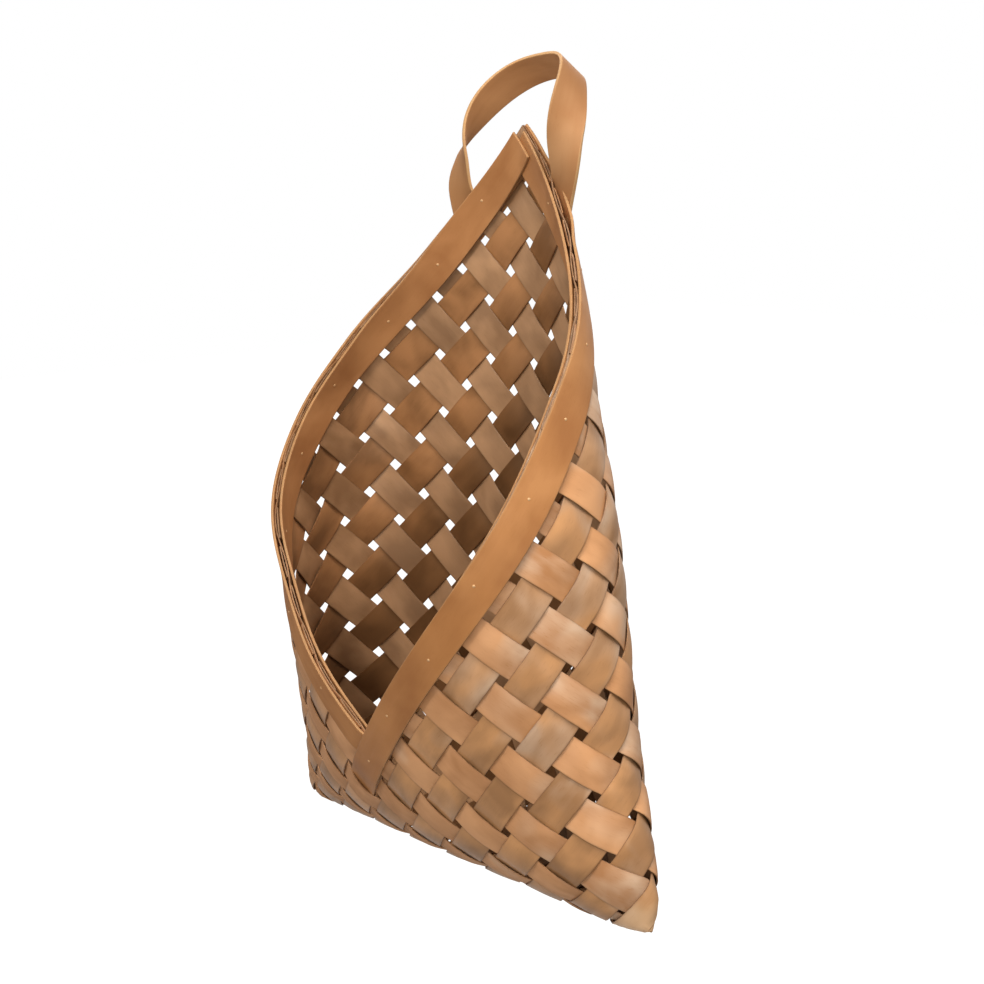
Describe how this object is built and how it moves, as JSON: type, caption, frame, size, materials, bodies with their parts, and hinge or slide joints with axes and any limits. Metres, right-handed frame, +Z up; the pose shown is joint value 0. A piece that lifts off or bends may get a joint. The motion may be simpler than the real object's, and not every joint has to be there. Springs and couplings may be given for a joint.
{
  "type": "hanging envelope basket",
  "caption": "Plaited wood-splint wall basket shaped like an open envelope, with a pointed back, crossed rim bands and a strap loop to hang it by.",
  "frame": {"origin": "hang seat, the middle of the flat underside at the top of the strap handle", "axes": "+Z up, front opening towards -Y, +X to the right as seen from the front"},
  "size_m": [0.3193, 0.1703, 0.4735],
  "materials": {
    "splint_brown": "satin",
    "splint_tan": "satin",
    "rim_wood": "satin",
    "handle_wood": "satin"
  },
  "bodies": {
    "root": {"splint_right_01": "splint_brown", "splint_right_02": "splint_brown", "splint_right_03": "splint_brown", "splint_right_04": "splint_brown", "splint_right_05": "splint_brown", "splint_right_06": "splint_brown", "splint_right_07": "splint_brown", "splint_right_08": "splint_brown", "splint_right_09": "splint_brown", "splint_left_01": "splint_tan", "splint_left_02": "splint_tan", "splint_left_03": "splint_tan", "splint_left_04": "splint_tan", "splint_left_05": "splint_tan", "splint_left_06": "splint_tan", "splint_left_07": "splint_tan", "splint_left_08": "splint_tan", "splint_left_09": "splint_tan", "rim_right_outer": "rim_wood", "rim_left_outer": "rim_wood", "rim_left_inner": "rim_wood", "rim_right_inner": "rim_wood", "handle_strap": "handle_wood"}
  },
  "joints": []
}
